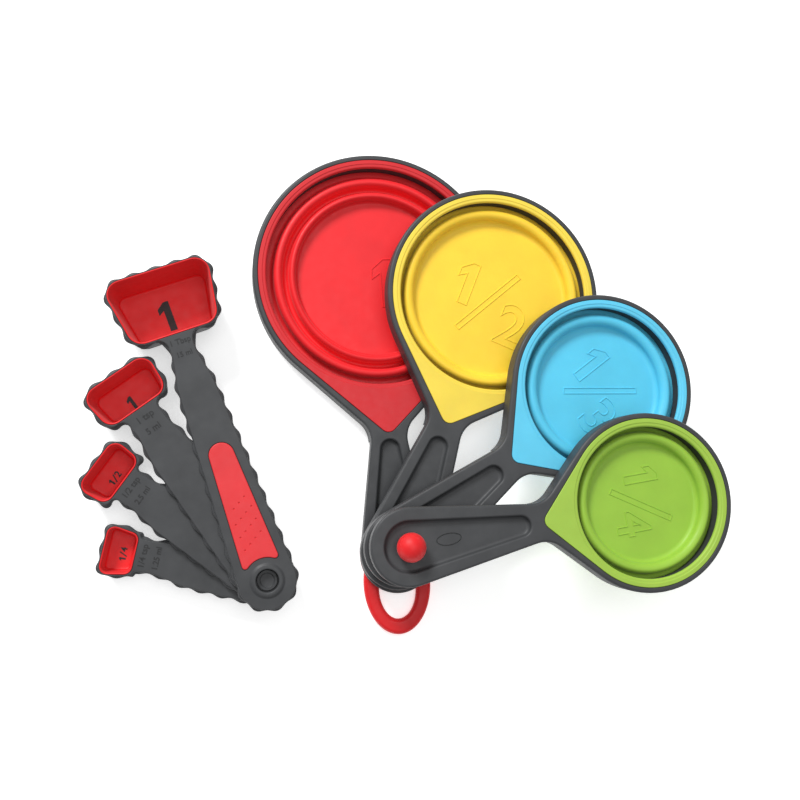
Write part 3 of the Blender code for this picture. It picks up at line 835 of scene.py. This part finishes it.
for name, (height, upper, bar, length, slant, figure, lower) in FRACTIONS.items():
    place, reach = cup_places[name]
    material, slot = bowl_silicones[name], f"{name}_silicone"
    shapes = (
        (drawn(f"{name}_figure_1", ONE, height, height), upper, 0),
        (drawn(f"{name}_bar", BAR, length, BAR_WIDTH), bar, slant),
        (written(f"{name}_figure_{figure}", figure, height, 0.0004), lower, 0),
    )
    for curve, (along, across), turn in shapes:
        laid(curve, place, (reach + along, across, FLOOR_TOP), LINE, material, name, slot, True, turn)

place, reach = cup_places["cup_1"]
spot = (reach - 0.0022, -0.0040, FLOOR_TOP)
curve = drawn("cup_1_figure_1", ONE, 0.0213, 0.0213)
laid(curve, place, spot, LINE, bowl_silicones["cup_1"], "bowl_floor", "cup_1_silicone", True)
print("fractions: 1 /", ", 1 / ".join(row[5] for row in FRACTIONS.values()))

# %% [markdown]
# ## The hanging loop
#
# One red moulding holds the cups together: a soft oval ring below, a stem through every handle, and a
# ball on top that snaps over the last one. The oval could be a tube along a curve, but the same wall and
# cap as before, rounded until its section is nearly round, lets the hole be an oval of its own. The stem
# and the ball are turned in one line and joined to the oval.

# %% Build the loop, its stem and its ball
LOOP_LENGTH = 0.0430
LOOP_WIDTH = 0.0288
LOOP_BAND = 0.0065
LOOP_START = -0.0047
STEM_RADIUS = 0.0032
BALL_RADIUS = 0.00575
BALL_WAIST = 0.0036
STEM_TOP = 0.0054
LOOP_GAP = 0.0003
LOOP_ROUND_SHARE = 0.94


def hanging_loop():
    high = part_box("hanging_loop")[1]
    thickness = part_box("cup_1_frame")[0].z + RING_HEIGHT - HANDLE_THICKNESS - LOOP_GAP
    place, _ = placed(cup_pin, "hanging_loop")
    outside_middle = LOOP_START + LOOP_LENGTH / 2
    hole_near, hole_far = STEM_RADIUS + LOOP_BAND / 2, LOOP_START + LOOP_LENGTH - LOOP_BAND
    hole_squash = (LOOP_WIDTH - 2 * LOOP_BAND) / (hole_far - hole_near)
    outside = evenly(ring(outside_middle, LOOP_LENGTH / 2, 160, LOOP_WIDTH / LOOP_LENGTH))
    inside = evenly(ring((hole_near + hole_far) / 2, (hole_far - hole_near) / 2, 120, hole_squash))
    half = thickness / 2 * LOOP_ROUND_SHARE
    edge = edge_steps(thickness, 0, half, half, count=7)
    hole = [(-outset, height) for outset, height in edge]
    cage = bmesh.new()
    outer, outer_foot = wall(cage, outside, edge)
    inner, inner_foot = wall(cage, inside, hole)
    cap(cage, outer, inner)
    cap(cage, outer_foot, inner_foot)
    loop = piece(cage, "loop_ball_and_stem", place, loop_red, "loop", "loop_silicone", "hanging_loop")
    middle = high.z - BALL_RADIUS
    start = math.asin(BALL_WAIST / BALL_RADIUS) - math.pi / 2
    turns = [start + (math.pi / 2 - start) * i / 22 for i in range(23)]
    profile = [(0, thickness / 2), (STEM_RADIUS, thickness / 2), (STEM_RADIUS, middle - STEM_TOP)]
    profile += [(BALL_RADIUS * math.cos(t), middle + BALL_RADIUS * math.sin(t)) for t in turns]
    profile[-1] = (0, middle + BALL_RADIUS)
    cage = bmesh.new()
    turned(cage, profile, 0, False, 56)
    cut_or_join(loop, object_from(cage, "stem and ball", place), "UNION")
    return loop


print(hanging_loop().name, "top at", round(1000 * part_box("hanging_loop")[1].z, 1), "mm")

# %% [markdown]
# ## The spoons' shared sizes
#
# The spoons stack blade on blade about their own pin, each one's peg snapping into the recess above it.
# Every blade has a smooth top face over a scalloped skirt, which gives a grip, and a deep four-sided
# bowl with a red lining. The rim heights come from the frame, and the floors of the bowls too.

# %% Sizes that every spoon shares
BLADE_THICKNESS = 0.0032
FIT_GAP = 0.0003
SHELL_GROW = 0.0004
BODY_WALL = 0.0010
LINER_WALL = 0.0006
LINER_FLOOR = 0.0010
DRAFT = math.radians(5)
RIM_BORDER = 0.0012
WAVE_PITCH = 0.0086
HANG_HOLE_RADIUS = 0.0045
HOLE_LIP_WIDTH = 0.0018
HOLE_LIP_HEIGHT = 0.0008
PEG_RADIUS = 0.0041
PEG_HEIGHT = 0.0011
PEG_WALL = 0.0011
PEG_HOLLOW = 0.0003
FOOT_RADIUS = 0.0070

# name, near and far edge of the bowl, half width there, corner, half width of neck and blade, end radius
SPOONS = (
    ("tablespoon", 0.1041, 0.1314, 0.0173, 0.0219, 0.0060, 0.0056, 0.0080, 0.0121),
    ("teaspoon", 0.0845, 0.1014, 0.0136, 0.0152, 0.0052, 0.0074, 0.0093, 0.0115),
    ("half_teaspoon", 0.0683, 0.0816, 0.0108, 0.0119, 0.0042, 0.0074, 0.0093, 0.0115),
    ("quarter_teaspoon", 0.0525, 0.0650, 0.0079, 0.0100, 0.0032, 0.0070, 0.0097, 0.0115),
)

spoon_places = {}
for name, *_ in SPOONS:
    spoon_places[name] = placed(spoon_pin, f"{name}_liner")[0]
    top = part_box(f"{name}_liner")[1].z
    print(name, "rim", round(1000 * top, 1), "mm up")

# %% [markdown]
# A spoon seen from above is two outlines: the four-sided mouth of its bowl, and the whole blade, which
# takes in the bowl's border, a narrow neck and a round end on the pin. Both are paths with rounded
# corners, from the sizes in the table, so that the border round the mouth stays even on every spoon.

# %% Outlines of a spoon
FINE_GAP = 0.0006
NECK_LENGTH = 0.0080
NECK_FOOT_CURVE = 0.0100
SHOULDER_CURVE = 0.0035
FLARE_LENGTH = 0.0200
FLARE_CURVE = 0.0200
CORNER_SHARE = 0.60
SHOULDER_SHARE = 0.35


def bowl_corners(spoon, grow):
    _, near, far, near_half, far_half, corner, *_ = spoon
    radius = corner + grow
    return [
        (far + grow, 0, 0),
        (far + grow, far_half + grow, radius),
        (near - grow, near_half + grow, radius),
        (near - grow, 0, 0),
    ]


def bowl_outline(spoon, grow):
    return evenly(both_sides(rounded_path(bowl_corners(spoon, grow))), FINE_GAP)


def blade_outline(spoon):
    _, near, _, _, _, _, neck, blade, end_radius = spoon
    edge = near - RIM_BORDER
    flare = edge - FLARE_LENGTH
    normal = shared_tangent(flare, blade, 0, end_radius)
    end = arc(0, end_radius, math.atan2(normal[1], normal[0]), math.pi, 30)
    corners = bowl_corners(spoon, RIM_BORDER)[:3]
    x, y, corner = corners[2]
    shoulder = y - neck
    corners[2] = (x, y, min(corner, CORNER_SHARE * shoulder))
    corners.append((edge, neck, min(SHOULDER_CURVE, SHOULDER_SHARE * shoulder)))
    corners.append((edge - NECK_LENGTH, neck, NECK_FOOT_CURVE))
    corners += [(flare, blade, FLARE_CURVE), (*end[0], 0)]
    return evenly(both_sides(rounded_path(corners) + end[1:]), FINE_GAP)


# %% [markdown]
# ## The spoons' grey bodies
#
# The skirt's scallops are a wave added to the outline, and they fade out towards the top face, which
# stays smooth. A Displace modifier could wave it, but not fade the wave by height. Under the blade the
# bowl's outer wall goes on down, drawn in a little. The top spoon has a round hole with a raised lip, for
# a hook, and the others a hollow peg there.

# %% Build the spoons' bodies
EDGE_ROUND = 0.0002
SHELL_FOOT_ROUND = 0.0010
PEG_FLOOR_ROUND = 0.0004
RECESS_DEPTH = 0.0021
LIP_ROUND = 0.0004

# outset and share of the lip's height, from the blade's face up to the lip's top
LIP_STEPS = ((0.0009, 0.0), (0.0004, 0.25), (0.0, 0.7), (-0.0005, 1.0))

# outset, depth below the top face, and size of the wave there
SKIRT = (
    (-0.00110, 0.0000, 0.00004),
    (-0.00086, 0.0001, 0.00005),
    (-0.00070, 0.0003, 0.00006),
    (-0.00062, 0.0006, 0.00008),
    (-0.00058, 0.0012, 0.00012),
    (-0.00020, 0.0014, 0.00036),
    (0.00000, 0.0018, 0.00048),
    (0.00005, 0.0026, 0.00050),
    (-0.00010, 0.0030, 0.00050),
    (-0.00035, 0.0032, 0.00045),
)


def hang_hole(cage, top, under):
    """The raised lip and the hole through it. Gives the rings that the two faces stop at."""
    outer = ring(0, HANG_HOLE_RADIUS + HOLE_LIP_WIDTH, 64)
    outer_steps = [(outset, top + HOLE_LIP_HEIGHT * share) for outset, share in LIP_STEPS]
    outer_foot, outer_top = wall(cage, outer, outer_steps)
    inner_steps = edge_steps(top + HOLE_LIP_HEIGHT, under, LIP_ROUND, side=-1)
    inner_top, inner_foot = wall(cage, ring(0, HANG_HOLE_RADIUS, 64), inner_steps)
    cap(cage, outer_top, inner_top)
    return outer_foot, inner_foot


def spoon_body(spoon, index):
    name, place = spoon[0], spoon_places[spoon[0]]
    low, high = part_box(f"{name}_liner")
    top, base = high.z, low.z
    under = top - BLADE_THICKNESS
    outline = blade_outline(spoon)
    waves = round(len(outline) * FINE_GAP / WAVE_PITCH)
    skirt = [(outset, top - depth, wave) for outset, depth, wave in SKIRT]
    cage = bmesh.new()
    edge, skirt_foot = wall(cage, outline, skirt, waves)
    cavity = leaning(edge_steps(top, base - FIT_GAP, EDGE_ROUND, side=-1), DRAFT)
    rim, cavity_foot = wall(cage, bowl_outline(spoon, SEAM), cavity)
    cap(cage, cavity_foot)
    shell_steps = leaning(edge_steps(top, base - FIT_GAP - BODY_WALL, 0, SHELL_FOOT_ROUND), DRAFT)
    shell_steps[0] = (-BLADE_THICKNESS * math.tan(DRAFT), under)
    shell, shell_foot = wall(cage, bowl_outline(spoon, SHELL_GROW), shell_steps)
    cap(cage, shell_foot)
    if index == 0:
        lip, hole_foot = hang_hole(cage, top, under)
        cap(cage, edge, rim, lip, pad_seat(cage, top))
        cap(cage, skirt_foot, shell, hole_foot)
    else:
        peg_top = top + PEG_HEIGHT
        peg_floor_height = peg_top - PEG_HOLLOW
        peg_steps = [(0, top), (0, peg_top - EDGE_ROUND), (-EDGE_ROUND, peg_top), (-PEG_WALL, peg_top)]
        peg_steps += [(-PEG_WALL, peg_floor_height + PEG_FLOOR_ROUND)]
        peg_steps += [(-PEG_WALL - PEG_FLOOR_ROUND, peg_floor_height)]
        peg, peg_floor = wall(cage, ring(0, PEG_RADIUS, 48), peg_steps)
        cap(cage, peg_floor)
        cap(cage, edge, rim, peg)
        last = index == len(SPOONS) - 1
        radius, height = (FOOT_RADIUS, 0.0) if last else (HANG_HOLE_RADIUS, under + RECESS_DEPTH)
        recess, recess_end = wall(cage, ring(0, radius, 48), [(0, under), (0, height)])
        cap(cage, recess_end)
        cap(cage, skirt_foot, shell, recess)
    return piece(cage, f"{name}_blade_and_bowl", place, grey, name, "grey_plastic", f"{name}_body")


# %% [markdown]
# The top spoon's handle has a soft red pad let into it, round at the neck end and hollowed round the
# hook hole. Small pits in slanting rows stop a wet thumb from sliding. Its seat is cut with the same
# outline, so the pad always fits.

# %% Outline of the grip pad and its seat
PAD_REACH = 0.0525
PAD_TOP_RADIUS = 0.0050
PAD_HALF_WIDTH = 0.0076
PAD_INNER_RADIUS = 0.0091
PAD_DEPTH = 0.0007
PAD_CORNER_RADIUS = 0.0013
PAD_GAP = 0.00045
HOLLOW_SHARE = 0.62


def pad_outline(grow=0.0):
    inner = PAD_INNER_RADIUS - grow
    half_width = PAD_HALF_WIDTH + grow
    opening = math.asin(half_width / inner)
    corner = (inner * math.cos(opening), half_width)
    hollow = arc(0, inner, opening * HOLLOW_SHARE, 0, 20)
    shoulder = (PAD_REACH, PAD_TOP_RADIUS + grow)
    top = arc(PAD_REACH, PAD_TOP_RADIUS + grow, 0, math.pi / 2, 20)
    softened = rounded_corner(shoulder, corner, hollow[0], PAD_CORNER_RADIUS, 8)
    return evenly(both_sides(top + softened + hollow), PAD_GAP)


def pad_seat(cage, top):
    seat_steps = edge_steps(top, top - PAD_DEPTH - FIT_GAP, EDGE_ROUND, side=-1)
    rim, foot = wall(cage, pad_outline(SEAM), seat_steps)
    cap(cage, foot)
    return rim


for index, spoon in enumerate(SPOONS):
    print(spoon_body(spoon, index).name)

# %% [markdown]
# ## The red linings
#
# Each bowl is lined with a thin silicone cup. Its rim is rounded and stands flush with the grey, and its
# floor meets its walls in a soft curve, so that nothing sticks in the corner. A Solidify modifier could
# thicken one sheet, but two walls from one outline give the inside its own curve at the floor.

# %% Build the linings
LINING_RIM_ROUND = 0.0003
LINING_FLOOR_ROUND = 0.0010
LINING_FOOT_ROUND = 0.0008


def lining(spoon):
    name = spoon[0]
    low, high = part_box(f"{name}_liner")
    top, base = high.z, low.z
    cage = bmesh.new()
    outer_steps = leaning(edge_steps(top, base, EDGE_ROUND, LINING_FOOT_ROUND), DRAFT)
    inside = edge_steps(top, base + LINER_FLOOR, LINING_RIM_ROUND, LINING_FLOOR_ROUND, -1)
    inner_steps = leaning(inside, DRAFT)
    outer, outer_foot = wall(cage, bowl_outline(spoon, 0), outer_steps)
    inner, inner_foot = wall(cage, bowl_outline(spoon, -LINER_WALL), inner_steps)
    cap(cage, outer, inner)
    cap(cage, outer_foot)
    cap(cage, inner_foot)
    place = spoon_places[name]
    return piece(cage, f"{name}_lining", place, spoon_red, name, "spoon_silicone", f"{name}_liner")


for spoon in SPOONS:
    print(lining(spoon).name)

# %% [markdown]
# ## The grip pad
#
# The pits are holes in the pad's top cap, each a short wall down to its own small floor. A bump in the
# material would look the same from afar, but real pits still show from the side. They lie in four
# slanting rows on the half of the pad nearest the hook hole.

# %% Build the grip pad
PIT_RADIUS = 0.00033
PIT_DEPTH = 0.00035
PIT_ROWS = ((0.0325, 3), (0.0272, 4), (0.0219, 4), (0.0166, 4))
PIT_PITCH = 0.0027
PIT_SLANT = 0.0016
PIT_EDGE = 0.0001
PAD_RIM_ROUND = 0.0004


def grip_pad():
    body, node = "tablespoon", "tablespoon_grip_pad"
    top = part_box(node)[1].z
    pit_steps = [(PIT_EDGE, top), (0, top - PIT_EDGE), (-PIT_EDGE, top - PIT_DEPTH)]
    cage = bmesh.new()
    rim, foot = wall(cage, pad_outline(), edge_steps(top, top - PAD_DEPTH, PAD_RIM_ROUND))
    pits = []
    for start, count in PIT_ROWS:
        for i in range(count):
            across = (i - (count - 1) / 2) * PIT_PITCH
            along = start - across / PIT_PITCH * PIT_SLANT
            path = [(x, across + y) for x, y in ring(along, PIT_RADIUS, 10)]
            pit, floor = wall(cage, path, pit_steps)
            cap(cage, floor)
            pits.append(pit)
    cap(cage, rim, *pits)
    cap(cage, foot)
    place = spoon_places[body]
    return piece(cage, "tablespoon_thumb_pad", place, pad_red, body, "spoon_silicone", node)


print(grip_pad().name)

# %% [markdown]
# ## The spoons' figures
#
# The measure stands in dark figures on each lining's floor, and again, small, on the grey neck in
# spoonfuls and millilitres.

# %% Figures in the bowls and on the necks
# the floor's lower figure, its middle from the bowl's near edge and its height,
# then two lines of words, each with its middle from that edge and its height
SPOON_WORDS = {
    "tablespoon": ("1", 0.0118, 0.0127, ("1 Tbsp", -0.0034, 0.0023), ("15 ml", -0.0086, 0.0021)),
    "teaspoon": ("1", 0.0056, 0.0061, ("1 tsp", -0.0040, 0.0028), ("5 ml", -0.0096, 0.0026)),
    "half_teaspoon": ("2", 0.0050, 0.0028, ("1/2 tsp", -0.0036, 0.0025), ("2.5 ml", -0.0090, 0.0023)),
    "quarter_teaspoon": ("4", 0.0052, 0.0026, ("1/4 tsp", -0.0032, 0.0025), ("1.25 ml", -0.0086, 0.0023)),
}
FIGURE_THICKNESS = 0.00012

for spoon in SPOONS:
    name, near = spoon[:2]
    figure, ahead, height, *lines = SPOON_WORDS[name]
    place = spoon_places[name]
    low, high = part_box(f"{name}_liner")
    finish = (FIGURE_THICKNESS, ink, name, "grey_plastic")
    floor, middle = low.z + LINER_FLOOR, near + ahead
    if figure == "1":
        one = drawn(f"{name}_floor_figure", ONE, height, height)
        laid(one, place, (middle, 0.0012, floor), *finish)
    else:
        one = drawn(f"{name}_floor_figure", ONE, height * 1.1, height)
        bar = drawn(f"{name}_floor_bar", BAR, height * 1.25, height * 0.17)
        below = written(f"{name}_floor_figure_{figure}", figure, height, height * 0.03)
        laid(one, place, (middle, 0.0012 + height * 0.72, floor), *finish)
        laid(bar, place, (middle, 0.0012, floor), *finish, turn=64)
        laid(below, place, (middle, 0.0012 - height * 0.72, floor), *finish)
    for words, behind, small in lines:
        mark = written(f"{name}_mark_{words[-2:]}", words, small, small * 0.02)
        laid(mark, place, (near + behind, 0, high.z), *finish)
print("spoons marked:", len(SPOON_WORDS))

# %% [markdown]
# ## Table and lights
#
# The set lies on a plain white table, which glows a little so that the shadows stay light. A soft light
# beyond the bowls gives the rims their bright edges and the pockets their shadows, a broad one overhead
# keeps the colours clear, and a white surrounding fills in the rest. One small lamp would light it all
# too, but its hard shadows would hide the folds.

# %% Table and light
bpy.context.scene.view_settings.view_transform = "Standard"
bpy.ops.mesh.primitive_plane_add(size=6)
table = bpy.context.object
table.name = "table"
table_material, tree, shader = blank_material("white table")
clouds = shade_range(tree, noise(tree, 4), (0.88, 0.88, 0.88), (0.92, 0.92, 0.92))
tree.links.new(clouds, shader.inputs["Base Color"])
shader.inputs["Roughness"].default_value = 0.8
shader.inputs["Emission Color"].default_value = (1, 1, 1, 1)
shader.inputs["Emission Strength"].default_value = 0.5
table.data.materials.append(table_material)
table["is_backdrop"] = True

world = bpy.data.worlds.new("white surrounding")
world.use_nodes = True
world.node_tree.nodes["Background"].inputs["Color"].default_value = (1, 1, 1, 1)
world.node_tree.nodes["Background"].inputs["Strength"].default_value = 0.40
bpy.context.scene.world = world


def soft_light(name, place, size, power):
    """A round light that faces the middle of the set."""
    light = bpy.data.lights.new(name, "AREA")
    light.shape = "DISK"
    light.size = size
    light.energy = power
    obj = bpy.data.objects.new(name, light)
    obj.location = place
    obj.rotation_euler = (-Vector(place)).to_track_quat("-Z", "Y").to_euler()
    bpy.context.scene.collection.objects.link(obj)


soft_light("key light", (-0.55, 0.85, 0.75), 0.40, 15.0)
soft_light("overhead light", (0.05, 0.10, 1.30), 0.80, 4.2)

# %% [markdown]
# ## Camera
#
# The camera hangs above the set and is tipped a little off straight down, so that the round rims look
# very slightly oval. A Track To constraint could aim it, but its roll would then follow its place. Here
# its three directions are worked out from the heading and the tilt, so each can be changed alone.

# %% Camera
TILT = math.radians(12.2)
HEADING = math.radians(31.0)
STANDPOINT = (-0.0710, -0.0455, 0.3768)
away = Vector((math.cos(HEADING), math.sin(HEADING), 0))
sideways = Vector((-math.sin(HEADING), math.cos(HEADING), 0))
upright = Vector((0, 0, 1))
sight = away * math.sin(TILT) - upright * math.cos(TILT)
over = away * math.cos(TILT) + upright * math.sin(TILT)
right = over * math.cos(HEADING) - sideways * math.sin(HEADING)
up = over * math.sin(HEADING) + sideways * math.cos(HEADING)
camera = bpy.data.objects.new("camera", bpy.data.cameras.new("camera"))
camera.data.sensor_width = 36.0
camera.data.lens = 39.6
camera.data.clip_start = 0.01
facing = Matrix((right, up, -sight)).transposed().to_4x4()
camera.matrix_world = Matrix.Translation(STANDPOINT) @ facing
bpy.context.scene.collection.objects.link(camera)
bpy.context.scene.camera = camera

# %% [markdown]
# ## The finished size
#
# The finer pieces have to stay within the working model's box, so the finished model's size is printed.

# %% Print the finished model's size
low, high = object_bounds()
print("finished model:", [round(1000 * side, 1) for side in high - low], "mm")
